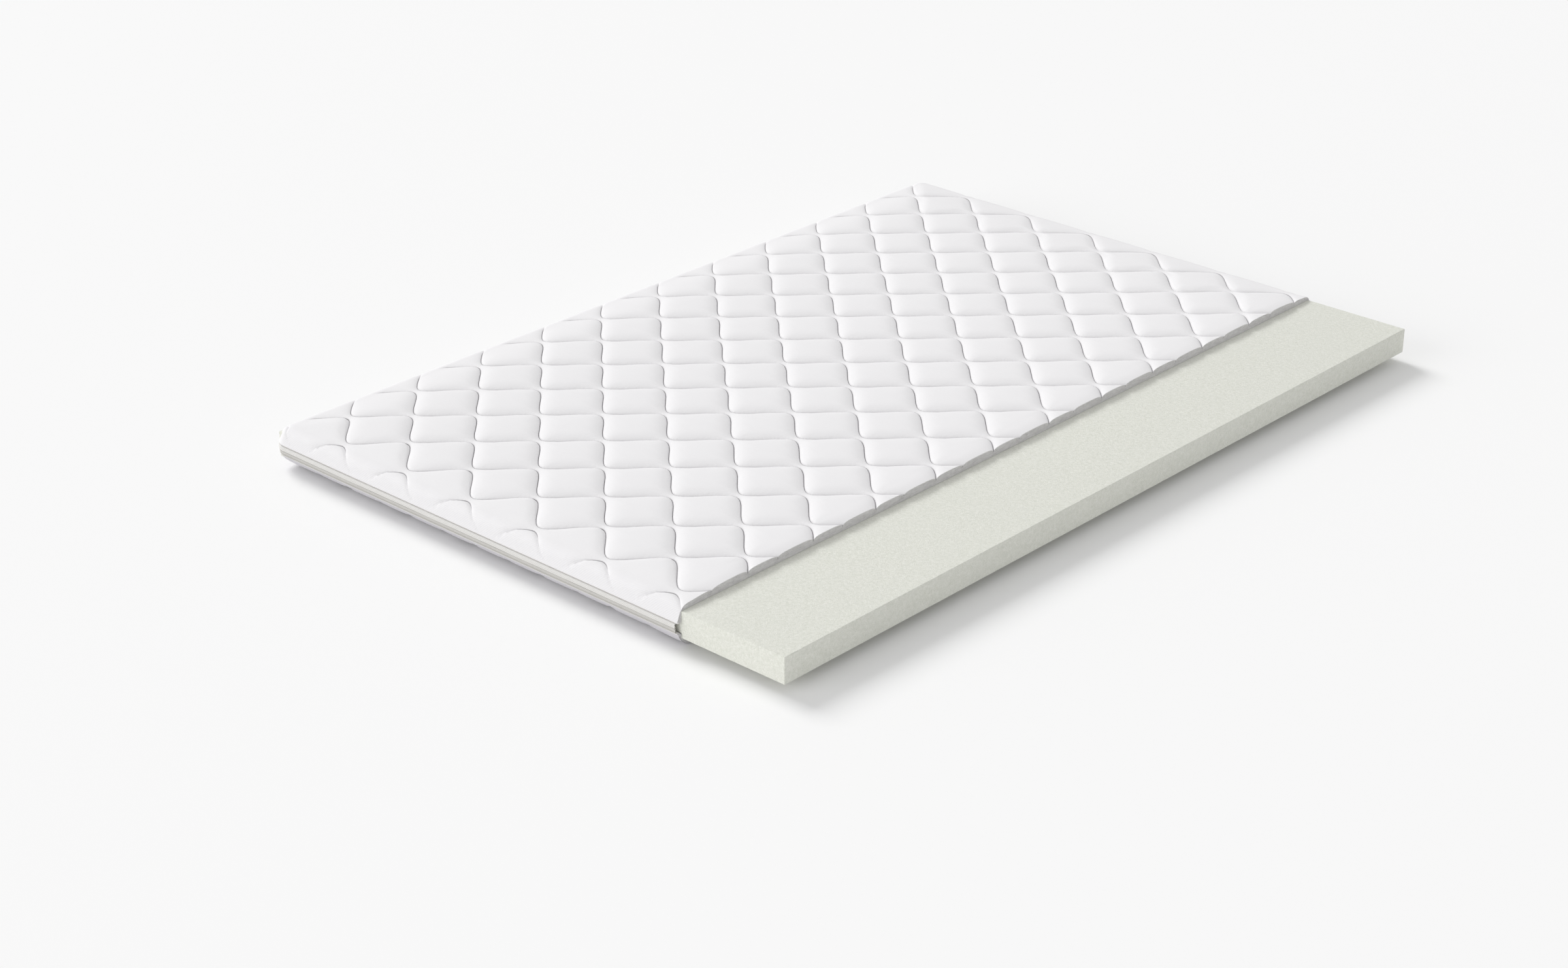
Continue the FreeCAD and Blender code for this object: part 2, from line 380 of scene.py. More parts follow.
def turnOutwards(mesh):
    shape = bmesh.new()
    shape.from_mesh(mesh)
    bmesh.ops.recalc_face_normals(shape, faces=shape.faces)
    shape.to_mesh(mesh)
    shape.free()


def pieceFromGrids(name, grids, material=None, attributes=()):
    points, faces, corners, index, first = weldedFaces(grids)
    piece = addPiece(name, points.tolist(), faces, material)
    mesh = piece.data
    uv = np.concatenate([g["uv"].reshape(-1, 2) for g in grids])
    layer = mesh.uv_layers.new(name="cloth")
    layer.data.foreach_set("uv", uv[corners].astype(np.float32).reshape(-1))
    for key in attributes:
        values = np.concatenate([g[key].reshape(-1) for g in grids])[first]
        mesh.attributes.new(key, "FLOAT", "POINT").data.foreach_set("value", values.astype(np.float32))
    if material:
        turnOutwards(mesh)
        mesh.set_sharp_from_angle(angle=math.radians(50))      # cut edges stay crisp
    return piece, index


def ladder(outer, inner, uvOuter, uvInner, steps=1):
    # a strip of faces that closes the gap between two borders
    t = np.linspace(0, 1, steps + 1)[:, None, None]
    points, uv = (a[None] * (1 - t) + b[None] * t for a, b in ((outer, inner), (uvOuter, uvInner)))
    return {"points": points, "uv": uv}


def closeShell(outer, inner, uv, cutSteps=1):
    # outer and inner grids of the same rows and columns, closed by four strips, the cut one first
    away = 20 * mm       # the strips' patterns are set off from the cloth's by this much
    return [
        {"points": outer, "uv": uv},
        {"points": inner, "uv": uv, "flip": True},
        ladder(outer[:, -1], inner[:, -1], uv[:, -1], uv[:, -1] + (away, 0), cutSteps),
        ladder(outer[:, 0], inner[:, 0], uv[:, 0], uv[:, 0] + (away, 0)),
        ladder(outer[0], inner[0], uv[0], uv[0] + (0, away)),
        ladder(outer[-1], inner[-1], uv[-1], uv[-1] + (0, away)),
    ]


fillingTrial = {
    "frames": 14, "pressure": 9.0, "pull": 9.0, "stiff": 0.4, "mass": 0.2, "quality": 4,
    "spare": -0.012,        # the cloth is cut this share longer than its place
    "most": 2.2 * mm,       # how far the simulation may move the cloth
    "calm": 140 * mm,       # it moves less and less over this length before the hem
    "calmSeam": 16 * mm,    # and over this length before a seam
}


def blowUp(points, uv, sewn, flip, trial):
    # cloth simulation: the knit is held along its seams and pressed outwards by the springy wadding
    piece, index = pieceFromGrids("cloth_trial", [{"points": points, "uv": uv, "flip": flip}])
    count = len(piece.data.vertices)
    held = np.zeros(count)
    np.maximum.at(held, index, sewn.reshape(-1))
    group = piece.vertex_groups.new(name="sewn")
    group.add([int(i) for i in np.nonzero(held > 0.5)[0]], 1.0, "REPLACE")
    cloth = piece.modifiers.new("cloth", "CLOTH")
    settings = cloth.settings
    settings.quality = trial["quality"]
    settings.mass = trial["mass"]
    settings.tension_stiffness = settings.compression_stiffness = trial["pull"]
    settings.shear_stiffness = trial["pull"] / 2
    settings.bending_stiffness = trial["stiff"]
    settings.shrink_min = settings.shrink_max = trial["spare"]
    settings.use_pressure = True
    settings.uniform_pressure_force = trial["pressure"]
    settings.vertex_group_mass = "sewn"
    settings.effector_weights.gravity = 0
    cloth.collision_settings.use_collision = False
    cloth.point_cache.frame_start = 1
    cloth.point_cache.frame_end = trial["frames"]
    rest = np.empty(count * 3)
    piece.data.vertices.foreach_get("co", rest)
    for number in range(1, trial["frames"] + 1):
        bpy.context.scene.frame_set(number)
    shown = piece.evaluated_get(bpy.context.evaluated_depsgraph_get())
    blown = np.empty(count * 3)
    shown.data.vertices.foreach_get("co", blown)
    rest, blown = rest.reshape(-1, 3), blown.reshape(-1, 3)
    move = blown - rest
    size = np.linalg.norm(move, axis=1, keepdims=True)
    eased = trial["most"] * np.tanh(size / trial["most"])
    print("cloth moved by", round(float(size.mean() / mm), 2), "mm on average")
    settled = rest + move * eased / np.maximum(size, 1e-9)
    data = piece.data
    bpy.data.objects.remove(piece)
    bpy.data.meshes.remove(data)
    bpy.context.scene.frame_set(1)
    return settled[index].reshape(points.shape)


def finishPiece(piece, body, slot, *nodes):
    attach(piece, body)
    if nodes:
        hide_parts(*nodes)
    return piece


def clothUv(tree):
    return addNode(tree, "ShaderNodeUVMap", {"uv_map": "cloth"}).outputs[0]


def turned(tree, source, degrees, stretch=(1, 1, 1)):
    # Mapping stretches first and turns after, so ribs run along the turned X
    turn = (0, 0, math.radians(degrees))
    return addNode(tree, "ShaderNodeMapping", i0=source, Rotation=turn, Scale=stretch).outputs[0]


def multiply(tree, a, b):
    return addNode(tree, "ShaderNodeMath", {"operation": "MULTIPLY"}, i0=a, i1=b).outputs[0]


def plus(tree, a, b):
    return addNode(tree, "ShaderNodeMath", {"operation": "ADD"}, i0=a, i1=b).outputs[0]


def ramp(tree, source, fromLow, fromHigh, toLow, toHigh):
    # carries fromLow..fromHigh over to toLow..toHigh and stops there
    node = addNode(tree, "ShaderNodeMapRange", i0=source, i1=fromLow, i2=fromHigh, i3=toLow, i4=toHigh)
    return node.outputs[0]


def noise(tree, place, scale, **looks):
    return addNode(tree, "ShaderNodeTexNoise", Vector=place, Scale=scale, **looks).outputs[0]


def cells(tree, place, size, feature="F1", **looks):
    kind = {"feature": feature}
    return addNode(tree, "ShaderNodeTexVoronoi", kind, Vector=place, Scale=1 / size, **looks).outputs[0]


def bands(tree, place, pitch, direction, **looks):
    # smooth ribs at that pitch; the wave texture repeats every 2 pi / 20 of its own units
    settings = {"wave_type": "BANDS", "bands_direction": direction, "wave_profile": "SIN"}
    scale = 2 * math.pi / (20 * pitch)
    return addNode(tree, "ShaderNodeTexWave", settings, Vector=place, Scale=scale, **looks).outputs[1]


def objectPlace(tree):
    return addNode(tree, "ShaderNodeTexCoord").outputs["Object"]


def raised(tree, height, strength, distance):
    return addNode(tree, "ShaderNodeBump", Height=height, Strength=strength, Distance=distance).outputs[0]


def mixed(tree, share, first, second):
    return addNode(tree, "ShaderNodeMix", {"data_type": "RGBA"}, i0=share, i6=first, i7=second).outputs[2]


knit = {
    "colour": "#f3f2f3",
    "shade": "#e9e7ea",          # painted shade between the ribs, and darker random tone
    "ribs": 4.2 * mm,            # the knit's diagonal ribs
    "ribTurn": 42,              # degrees
    "loops": 1.3 * mm,
    "relief": 0.10 * mm,
    "seam": "#8e8b8e",           # painted shade in the seam grooves, where the cloth dips into the sewing
    "seamShadeHalf": 1.4 * mm,
}


def makeKnit(name, look):
    # polyester jersey: matt and near white, faint diagonal ribs, loops that only show close up
    material, tree = startMaterial(name)
    uv = clothUv(tree)
    wander = noise(tree, uv, 28.0, Detail=2.0, Roughness=0.5)
    ribbedPlace = turned(tree, uv, look["ribTurn"])
    ribs = bands(tree, ribbedPlace, look["ribs"], "X", Distortion=1.2, Detail=1.0, Detail_Scale=0.6)
    loopPlace = turned(tree, uv, look["ribTurn"], (1.0, 0.55, 1.0))
    loops = cells(tree, loopPlace, look["loops"], "SMOOTH_F1", Smoothness=0.6, Randomness=0.35)
    near = addNode(tree, "ShaderNodeAttribute", {"attribute_name": "seamGap"}).outputs[2]
    run = addNode(tree, "ShaderNodeAttribute", {"attribute_name": "overEdge"}).outputs[2]
    ribShare = ramp(tree, run, 0.0, 0.02, 0.12, 1.0)          # the ribs show on the sides, in the bump and as painted shade
    onTop = ramp(tree, run, 0.0, 0.016, 1.0, 0.0)
    # painted groove shade along the seams, faded out on the sides
    paintedSeamShade = multiply(tree, ramp(tree, near, 0.0, look["seamShadeHalf"], 1.0, 0.0), onTop)
    shownRibs = multiply(tree, ribs, ribShare)
    # the ribs' tone is painted shade between them; the wander is random tone
    tone = plus(tree, multiply(tree, shownRibs, 0.35), multiply(tree, wander, 0.25))
    colour = mixed(tree, tone, linear(look["colour"]), linear(look["shade"]))
    colour = mixed(tree, multiply(tree, paintedSeamShade, 0.85), colour, linear(look["seam"]))
    pucker = multiply(tree, noise(tree, uv, 190.0, Detail=2.0), ramp(tree, near, 0.0, 0.012, 5.0, 1.2))
    weave = plus(tree, multiply(tree, shownRibs, 0.9), multiply(tree, loops, 0.35))
    bump = raised(tree, plus(tree, weave, pucker), 0.7, look["relief"] * 2)
    finishMaterial(tree, addNode(
        tree, "ShaderNodeBsdfPrincipled", Base_Color=colour, Roughness=0.88, Normal=bump,
        Sheen_Weight=0.12, Sheen_Roughness=0.5, Specular_IOR_Level=0.25,
    ))
    return material


def makeWadding():
    # polyester fibre wadding: greyish white, fibres lie flat, so a cut face is streaked along the layer
    material, tree = startMaterial("polyesterWadding")
    place = objectPlace(tree)
    streaks = noise(tree, turned(tree, place, 0, (60, 60, 700)), 1.0, Detail=5.0, Roughness=0.7)
    clumps = noise(tree, place, 120.0, Detail=3.0)
    fibres = plus(tree, multiply(tree, streaks, 0.7), multiply(tree, clumps, 0.3))
    tone = ramp(tree, fibres, 0.3, 0.7, 0.0, 1.0)
    finishMaterial(tree, addNode(
        tree, "ShaderNodeBsdfPrincipled", Base_Color=mixed(tree, tone, linear("#cdcacc"), linear("#f8f7f8")),
        Roughness=0.95, Normal=raised(tree, tone, 0.9, 0.9 * mm),
        Sheen_Weight=0.3, Sheen_Roughness=0.6, Specular_IOR_Level=0.2,
    ))
    return material


def makeLining():
    # spunbond nonwoven: thin, slightly shiny, with a fine pattern of bonded points
    material, tree = startMaterial("spunbondLining")
    uv = clothUv(tree)
    points = cells(tree, turned(tree, uv, 45), 1 / 420.0, Randomness=0.15)
    fibres = noise(tree, uv, 900.0, Detail=4.0, Roughness=0.8)
    height = plus(tree, multiply(tree, points, 0.6), multiply(tree, fibres, 0.4))
    colour = mixed(tree, fibres, linear("#d9d9db"), linear("#f0f0f1"))
    finishMaterial(tree, addNode(
        tree, "ShaderNodeBsdfPrincipled", Base_Color=colour, Roughness=0.7,
        Normal=raised(tree, height, 0.5, 0.2 * mm),
    ))
    return material


foamLook = {
    "colour": "#fbfbf4",
    "shade": "#d8dace",
    "veil": "#e9eae2",       # broad patches that are a little flatter in tone
    "pores": 2.6 * mm,       # groups of open cells on the sawn face
    "cells": 0.9 * mm,       # drawn coarser than the real half millimetre, so that they show
}


def makeFoam(look):
    # flexible polyurethane foam, sawn: pale ivory green, matt, mottled by its open cells
    material, tree = startMaterial("polyurethaneFoam")
    place = objectPlace(tree)
    pores = cells(tree, place, look["pores"], Randomness=1.0)
    openCells = cells(tree, place, look["cells"], Randomness=1.0)
    cloud = noise(tree, place, 160.0, Detail=6.0, Roughness=0.75)
    broad = noise(tree, place, 9.0, Detail=2.0)
    speck = ramp(tree, cloud, 0.35, 0.68, 0.0, 1.0)
    tone = plus(tree, multiply(tree, speck, 0.55), multiply(tree, pores, 0.45))
    colour = mixed(tree, tone, linear(look["shade"]), linear(look["colour"]))
    colour = mixed(tree, ramp(tree, broad, 0.3, 0.7, 0.0, 0.25), colour, linear(look["veil"]))
    coarse = plus(tree, multiply(tree, pores, 0.5), multiply(tree, cloud, 0.8))
    bump = raised(tree, plus(tree, multiply(tree, openCells, 0.4), coarse), 0.7, 0.9 * mm)
    finishMaterial(tree, addNode(
        tree, "ShaderNodeBsdfPrincipled", Base_Color=colour, Roughness=0.92, Normal=bump,
        Specular_IOR_Level=0.25, Sheen_Weight=0.1,
    ))
    return material


def makeTape(name, light, dark, rib, relief):
    # woven polyester tape: ribs along its length, darker between them as painted shade, fine cross threads
    # and a little unevenness
    material, tree = startMaterial(name)
    uv = clothUv(tree)
    ribs = bands(tree, uv, rib, "Y", Distortion=0.6, Detail=1.0)
    cross = bands(tree, uv, 1.4 * mm, "X", Distortion=1.0, Detail=1.0)
    patches = noise(tree, uv, 160.0, Detail=3.0, Roughness=0.7)
    fine = plus(tree, multiply(tree, cross, 0.2), multiply(tree, patches, 0.3))
    tone = plus(tree, multiply(tree, ribs, 0.5), fine)
    finishMaterial(tree, addNode(
        tree, "ShaderNodeBsdfPrincipled", Base_Color=mixed(tree, tone, linear(dark), linear(light)),
        Roughness=0.75, Normal=raised(tree, tone, 0.8, relief), Sheen_Weight=0.15, Sheen_Roughness=0.5,
    ))
    return material


def makeThread():
    # trilobal polyester thread: white with a soft gloss
    material, tree = startMaterial("polyesterThread")
    twist = noise(tree, objectPlace(tree), 1500.0, Detail=1.0)
    colour = mixed(tree, twist, linear("#c4c2c4"), linear("#dddcde"))
    finishMaterial(tree, addNode(tree, "ShaderNodeBsdfPrincipled", Base_Color=colour, Roughness=0.5))
    return material


def makeZipPlastic():
    # polyester teeth: off-white, smooth, with painted shade between the turns
    material, tree = startMaterial("polyesterZipCoil")
    turns = bands(tree, objectPlace(tree), 1.3 * mm, "DIAGONAL")
    finishMaterial(tree, addNode(
        tree, "ShaderNodeBsdfPrincipled", Base_Color=mixed(tree, turns, linear("#b9b7b0"), linear("#efeee8")),
        Roughness=0.35, Normal=raised(tree, turns, 0.9, 0.5 * mm),
    ))
    return material


def makeZinc():
    # die-cast zinc alloy, tumbled and nickel plated: bright, with small dents and dulled edges
    material, tree = startMaterial("nickelPlatedZinc")
    place = objectPlace(tree)
    dents = noise(tree, place, 700.0, Detail=3.0)
    wear = noise(tree, place, 180.0, Detail=4.0)
    finishMaterial(tree, addNode(
        tree, "ShaderNodeBsdfPrincipled", Base_Color=mixed(tree, wear, linear("#b4b3b0"), linear("#d6d5d2")),
        Metallic=1.0, Roughness=ramp(tree, wear, 0.3, 0.7, 0.24, 0.42),
        Normal=raised(tree, dents, 0.3, 0.15 * mm),
    ))
    return material


knitCloth = makeKnit("ribbedPolyesterKnit", knit)
# a darker copy of the knit: painted shade on the underside panel, which faces down
paintedShadeUnderKnit = makeKnit("paintedShadeUndersideKnit", dict(knit, colour="#d2d0d4", shade="#c6c4c8"))
wadding = makeWadding()
lining = makeLining()
foam = makeFoam(foamLook)
tapeCloth = makeTape("wovenZipTape", "#f9f8f6", "#cbc9c4", 2.1 * mm, 0.3 * mm)
# a darker copy of the tape: painted shade on the lower tape, which leans in and faces down
paintedShadeLowerTape = makeTape("paintedShadeZipTape", "#e2e0dc", "#aeaca6", 1.9 * mm, 0.3 * mm)
bindingCloth = makeTape("wovenBinding", "#f4f3f2", "#dbd8d5", 0.6 * mm, 0.2 * mm)
thread = makeThread()
zipPlastic = makeZipPlastic()
zinc = makeZinc()
print("materials are made")


topPanel = {
    "name": "top", "way": 1, "cloth": 1.2 * mm, "fabric": knitCloth,
    "seamZ": knitLow[2], "height": knitHigh[2] - knitLow[2], "liningDrop": liningHigh[2] - liningLow[2],
    "lean": 20, "standOff": 11.4 * mm, "fold": 2.5 * mm, "tail": 5 * mm,
    # the pillows: how deep the seams lie, how quickly the cloth rises from them and how round it is
    "depth": 6.7 * mm, "groove": 1.3 * mm, "edgeSoftness": 3.7 * mm, "shoulder": 0.72, "fullGap": 163 * mm,
    "sideShare": 0.22, "seamCalm": 16 * mm,
    # the mesh: columns beside each turn of a wave, rows as shares of a pillow, finer rows at the ends
    "offsets": (0, 4.5, 10, 18, 30, 45.7), "edgeStep": 4.5 * mm,
    "shares": (0.0, 0.015, 0.042, 0.09, 0.17, 0.3, 0.5, 0.7, 0.83, 0.91, 0.958, 0.985),
    "fineRows": 26, "nearEdge": 5 * mm, "rowsFarOff": 50 * mm, "waddingStep": 2,
    "seed": 11,
    "tuck": {"depth": 6.6 * mm, "hold": 35 * mm, "reach": 130 * mm, "grip": 4, "loose": 0.0},
}
bottomPanel = dict(
    topPanel, name="bottom", way=-1, fabric=paintedShadeUnderKnit,
    seamZ=underHigh[2], height=underHigh[2] - underLow[2],
    liningDrop=underHigh[2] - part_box("bottom_lining")[0][2],
    lean=24, standOff=9 * mm, depth=5.0 * mm, sideShare=0.2,
    offsets=(0, 7, 18, 32), edgeStep=6 * mm, shares=(0.0, 0.03, 0.1, 0.24, 0.5, 0.76, 0.9, 0.97),
    fineRows=18, waddingStep=1, seed=23,
    tuck={"depth": 11 * mm, "hold": 0.0, "reach": 95 * mm, "grip": 1, "loose": 0.75},
)


def liningSection(panel, inset):
    # the lining follows the slab: flat over it, then down its side to the seam
    clearance, bend = 1.3 * mm, 3 * mm
    out, drop = cornerRadius + clearance - inset, panel["liningDrop"] - inset
    return {"out": out, "drop": drop, "bend": bend, "length": out - bend + bend * math.pi / 2 + drop - bend}


def alongLining(section, share):
    run = share * section["length"]
    bend, flatEnd = section["bend"], section["out"] - section["bend"]
    turn = np.clip((run - flatEnd) / bend, 0, math.pi / 2)
    out = np.minimum(run, flatEnd) + bend * np.sin(turn)
    down = bend * (1 - np.cos(turn)) + np.maximum(run - flatEnd - bend * math.pi / 2, 0)
    return out, section["drop"] - down


def placeLining(u, v, panel, edge, inset):
    run, towardsX, towardsY, fromX, fromY = roundCorner(u, v)
    out, up = alongLining(liningSection(panel, inset), run / edge["lengths"][-1])
    z = np.broadcast_to(panel["seamZ"] + panel["way"] * up, u.shape)
    return np.stack([fromX + towardsX * out, fromY + towardsY * out, z], axis=-1)


def fillPillows(panel, edge, outer, u, v, seam, near, run):
    # the simulated cloth, with less and less movement towards seams and hem
    held = np.maximum(seam, (run > edge["lengths"][1] - panel["seamCalm"]).astype(float))
    held[:, -1] = 1
    settled = blowUp(outer, np.stack([u, v], axis=-1), held, panel["way"] < 0, fillingTrial)
    toHem = edge["rings"][0] + np.minimum(u - cornerX, cornerY - np.abs(v))
    ease = np.clip(toHem / fillingTrial["calm"], 0, 1)
    ease = ease ** 2 * (3 - 2 * ease) * np.clip(near / fillingTrial["calmSeam"], 0, 1)
    settled = outer + (settled - outer) * ease[..., None]
    settled[..., 2] = np.maximum(settled[..., 2], underLow[2])     # it lies flat on the floor
    return settled


def makeKnitCover(panel, edge, grid):
    u, v, lift, seam, near, run = grid
    name = panel["name"]
    outer = placeCloth(u, v, edge, panel, lift)
    inner = placeCloth(u, v, edge, panel, lift - panel["cloth"])
    settled = fillPillows(panel, edge, outer, u, v, seam, near, run)
    inner = inner + settled - outer
    outer = settled
    grids = closeShell(outer, inner, np.stack([u, v], axis=-1))
    for g in grids:
        size = g["points"].shape[:2]
        g["seamGap"] = near if size == u.shape else np.full(size, panel["rowsFarOff"])
        g["overEdge"] = run if size == u.shape else np.zeros(size)
    cover, _ = pieceFromGrids(f"{name}_knit_cover", grids, panel["fabric"], ("seamGap", "overEdge"))
    finishPiece(cover, "cover", "cover_fabric", f"{name}_knit_fabric")
    size = (cutX - u[0, 0], 2 * (cornerY + edge["lengths"][-1]))
    print(name, "knit cover:", len(cover.data.polygons), "faces, flat", np.round(size, 3))


def makeWaddingLayer(panel, edge, grid):
    # fills the room between cover and lining; its cut face is a little ragged
    u, v, lift = grid[:3]
    name, gap = panel["name"], 0.1 * mm
    keep = np.unique(np.append(np.arange(0, u.shape[1], panel["waddingStep"]), u.shape[1] - 1))
    atCut = np.clip((cutX - u) / (20 * mm), 0, 1)
    lift = lift - panel["cloth"] - gap - 1.0 * mm * atCut
    outside = placeCloth(u, v, edge, panel, lift)[:, keep]
    inside = placeLining(u, v, panel, edge, 0.0)[:, keep] + np.array([0, 0, gap / 2 * panel["way"]])
    grids = closeShell(outside, inside, np.stack([u, v], axis=-1)[:, keep], 5)
    random = np.random.default_rng(panel["seed"] + 1)
    cutFace = grids[2]["points"]
    cutFace[1:-1, :, 0] += random.uniform(-0.9, 0.7, cutFace.shape[:2])[1:-1] * mm
    layer, _ = pieceFromGrids(f"{name}_fibre_wadding", grids, wadding)
    finishPiece(layer, "cover", "wadding", f"{name}_wadding")
    print(name, "wadding:", len(layer.data.polygons), "faces")


def makeLiningSheet(panel, edge, firstColumn):
    name = panel["name"]
    u = np.concatenate([np.linspace(firstColumn, cornerX, 16), np.linspace(cornerX, cutX, 30)[1:]])
    side = np.linspace(cornerY, cornerY + edge["lengths"][-1], 16)
    v = np.concatenate([-side[::-1], np.linspace(-cornerY, cornerY, 50)[1:-1], side])
    u, v = np.meshgrid(u, v)
    outside, inside = (placeLining(u, v, panel, edge, inset) for inset in (0.0, 0.8 * mm))
    grids = closeShell(outside, inside, np.stack([u, v], axis=-1))
    sheet, _ = pieceFromGrids(f"{name}_nonwoven_lining", grids, lining)
    finishPiece(sheet, "cover", "lining", f"{name}_lining")


def makePanel(panel):
    edge = panelEdge(panel["height"], panel["lean"], panel["standOff"], panel["fold"], panel["tail"])
    waves = SewnWaves(quilting, panel["seed"])
    columns = waveColumns(edge, [o * mm for o in panel["offsets"]], panel["edgeStep"])
    fineShares = tuple(np.arange(panel["fineRows"]) / panel["fineRows"])
    grid = quiltGrid(waves, edge, columns, panel["shares"], fineShares, panel)
    makeKnitCover(panel, edge, grid)
    makeWaddingLayer(panel, edge, grid)
    makeLiningSheet(panel, edge, columns[0])
    return edge, waves


topEdge, topWaves = makePanel(topPanel)
bottomEdge, bottomWaves = makePanel(bottomPanel)


stitching = {
    "stitch": 3.6 * mm, "pitch": 5.4 * mm, "thick": 0.45 * mm, "proud": -0.05 * mm,
    "dive": 0.6 * mm,       # the ends of a stitch go this much deeper than its middle
    "flat": 1.2, "pointed": 0.45,       # its width against its height, its ends against its middle
    "lastRun": 6 * mm,      # over the edges the thread is sunk in the cloth
}


def stitchRow(panel, edge, waves, row, sewing):
    # start, middle and end of each stitch of one seam, with the cloth's outward direction
    reach = cornerY + edge["lengths"][1]
    x = np.arange(cornerX - edge["lengths"][1] + 2 * mm, cutX - 1 * mm, 1 * mm)
    line = waves.line(row, x)
    along = np.concatenate([[0], np.cumsum(np.hypot(np.diff(x), np.diff(line)))])
    starts = np.arange(along[0] + sewing["pitch"], along[-1] - sewing["pitch"], sewing["pitch"])
    ends = [np.interp(starts + s * sewing["stitch"], along, x) for s in (0.0, 0.5, 1.0)]
    ys = [np.interp(e, x, line) for e in ends]
    run = roundCorner(ends[1], ys[1])[0]
    inside = (np.abs(ys[1]) < reach) & (run < sewing["lastRun"])
    lift = -(panel["depth"] + panel["groove"]) * sideCalm(edge, run, panel)

    def onCloth(number, rise):
        u, v = ends[number], ys[number]
        return placeCloth(u, v, edge, panel, lift + rise)[inside]

    sinks = [sewing["proud"] - (0 if number == 1 else sewing["dive"]) for number in range(3)]
    points = np.stack([onCloth(number, sink) for number, sink in enumerate(sinks)], axis=1)
    normal = onCloth(1, 1 * mm) - onCloth(1, 0)
    return points, normal / np.linalg.norm(normal, axis=1, keepdims=True)


def makeStitches(panel, edge, waves, sewing):
    # each stitch is a small spindle of two rings of four faces
    rows = [stitchRow(panel, edge, waves, row, sewing) for row in waves.rows(cornerY + edge["lengths"][1])]
    points, normal = (np.concatenate(kind) for kind in zip(*rows))
    along = points[:, 2] - points[:, 0]
    along /= np.linalg.norm(along, axis=1, keepdims=True)
    side = np.cross(normal, along)
    half = sewing["thick"] / 2
    vertices, faces = [], []
    for ring, size in enumerate((sewing["pointed"], 1.0, sewing["pointed"])):
        for sideways, upwards in ((1, 0), (0, 1), (-1, 0), (0, -1)):
            away = sideways * side * sewing["flat"] + upwards * normal
            vertices.append(points[:, ring] + half * size * away)
    vertices = np.stack(vertices, axis=1)
    quads = [(r * 4, r * 4 + 4, k, (k + 1) % 4) for r in range(2) for k in range(4)]
    pattern = [(low + k, low + after, high + after, high + k) for low, high, k, after in quads]
    pattern += [(3, 2, 1, 0), (8, 9, 10, 11)]
    for number in range(len(vertices)):
        faces.extend([tuple(12 * number + k for k in face) for face in pattern])
    piece = addPiece(f"{panel['name']}_quilting_thread", vertices.reshape(-1, 3).tolist(), faces, thread)
    turnOutwards(piece.data)
    finishPiece(piece, "cover", "cover_fabric")
    print(piece.name, len(vertices), "stitches,", len(faces), "faces")


makeStitches(topPanel, topEdge, topWaves, stitching)
makeStitches(bottomPanel, bottomEdge, bottomWaves, stitching)


cornerSteps = 12      # faces round a corner of the cover


def coverPath(out, endBack, step):
    # points and outward directions at that distance out from the corner centres, from cut end to cut end
    x = np.arange(0, cutX - endBack - cornerX, step)
    x = np.append(x, cutX - endBack - cornerX) + cornerX
    y = np.linspace(-cornerY, cornerY, math.ceil(2 * cornerY / step) + 1)
    turn = np.linspace(0, math.pi / 2, cornerSteps + 1)[1:-1]
    starts = [(px, -cornerY) for px in x[::-1]] + [(cornerX, -cornerY)] * len(turn)
    facing = [(0, -1)] * len(x) + [(-math.sin(a), -math.cos(a)) for a in turn]
    starts += [(cornerX, py) for py in y]
    facing += [(-1, 0)] * len(y)
    starts += [(cornerX, cornerY)] * len(turn) + [(px, cornerY) for px in x]
    facing += [(-math.cos(a), math.sin(a)) for a in turn] + [(0, 1)] * len(x)
    starts, facing = np.array(starts), np.array(facing)
    middle = starts + facing * out
    length = np.concatenate([[0], np.cumsum(np.linalg.norm(np.diff(middle, axis=0), axis=1))])
    return starts, facing, length


def makeStrip(name, section, endBack, material, step=6 * mm, waver=0.0, seed=1):
    # a closed section of (distance out, height) carried round the cover
    section = np.array(section)
    starts, facing, length = coverPath(section[:, 0].max(), endBack, step)
    random = np.random.default_rng(seed)
    shift = random.uniform(0, 2 * math.pi, 3)
    slow, quick = 43 * mm, 19 * mm
    sway = waver * (np.sin(length / slow + shift[0]) + 0.6 * np.sin(length / quick + shift[1]))
    closed = np.vstack([section, section[:1]])
    out = closed[None, :, 0] + sway[:, None]
    points = np.stack([
        starts[:, None, 0] + facing[:, None, 0] * out,
        starts[:, None, 1] + facing[:, None, 1] * out,
        np.broadcast_to(closed[None, :, 1], out.shape),
    ], axis=-1)
    across = np.concatenate([[0], np.cumsum(np.linalg.norm(np.diff(closed, axis=0), axis=1))])
    uv = np.stack(np.broadcast_arrays(length[:, None], across[None, :]), axis=-1)
    grids = [{"points": points, "uv": uv}]
    half = len(section) // 2
    for end in (0, -1):
        low, high = points[end, :half], points[end, half:2 * half][::-1]
        grids.append(ladder(low, high, uv[end, :half], uv[end, half:2 * half][::-1]))
    piece, _ = pieceFromGrids(name, grids, material)
    return piece, float(length[-1])


zipBand = {
    "tapeThick": 0.8 * mm, "bindCloth": 0.5 * mm, "flange": 5 * mm, "tapeOut": 11.3 * mm,
    "lowerLean": 2.4 * mm,
    "halfGap": 0.2 * mm,      # between the zip's middle and each tape's folded edge
    "endBack": 6 * mm, "waver": 0.12 * mm,
    "ribStep": 1.15 * mm, "ribRise": 0.16 * mm,     # cords woven into the tape along its length
    "swell": 0.45 * mm,        # the upper tape's two soft ridges
    "welt": 1.8 * mm,          # corded edge along the lower tape
    "bend": 1.0 * mm,          # of the tape at its flange
    "bindDepth": 6.5 * mm, "bindTurn": 6, "bindEndBack": 1.5 * mm, "bindWaver": 0.05 * mm,
}


